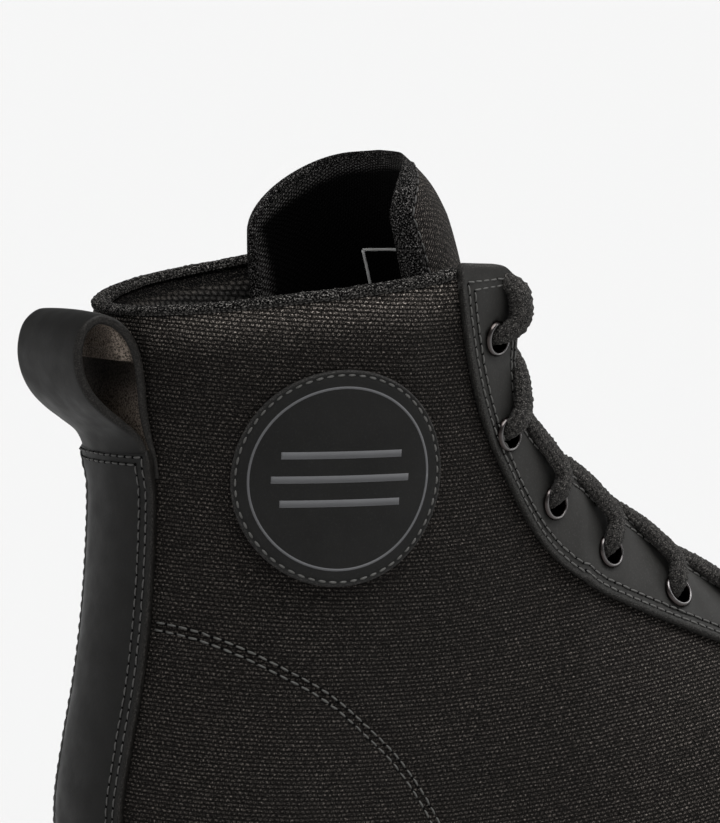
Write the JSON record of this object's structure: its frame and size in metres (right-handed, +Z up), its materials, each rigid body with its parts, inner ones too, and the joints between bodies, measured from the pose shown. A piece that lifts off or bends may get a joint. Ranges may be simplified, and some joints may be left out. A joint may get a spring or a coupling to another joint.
{
  "type": "motorcycle boot",
  "caption": "Ankle-high laced motorcycle boot in canvas with leather facings, heel stay, pull loop and round side patch, padded tongue and a lugged rubber sole; right foot",
  "frame": {"origin": "middle of the boot's box in plan, on the floor under the sole", "axes": "+X forward to the toe, +Y to the wearer's left (the inner side of this right boot), +Z up"},
  "size_m": [0.3068, 0.0996, 0.1959],
  "materials": {
    "canvas": "matte woven canvas, near black",
    "leather": "smooth matte leather, dark grey",
    "rubber": "matte black moulded rubber",
    "lining": "soft black knit",
    "eyelet_metal": "dark gunmetal, polished",
    "lace_cord": "fuzzy black braid"
  },
  "bodies": {
    "root": {"badge": "leather", "eyelet_lateral_1": "eyelet_metal", "eyelet_lateral_2": "eyelet_metal", "eyelet_lateral_3": "eyelet_metal", "eyelet_lateral_4": "eyelet_metal", "eyelet_lateral_5": "eyelet_metal", "eyelet_lateral_6": "eyelet_metal", "eyelet_lateral_7": "eyelet_metal", "eyelet_medial_1": "eyelet_metal", "eyelet_medial_2": "eyelet_metal", "eyelet_medial_3": "eyelet_metal", "eyelet_medial_4": "eyelet_metal", "eyelet_medial_5": "eyelet_metal", "eyelet_medial_6": "eyelet_metal", "eyelet_medial_7": "eyelet_metal", "eyestay": "leather", "heel_stay": "leather", "insole": "lining", "lace": "lace_cord", "outsole": "rubber", "pull_loop": "leather", "tongue": "canvas", "upper": "canvas"}
  },
  "joints": []
}
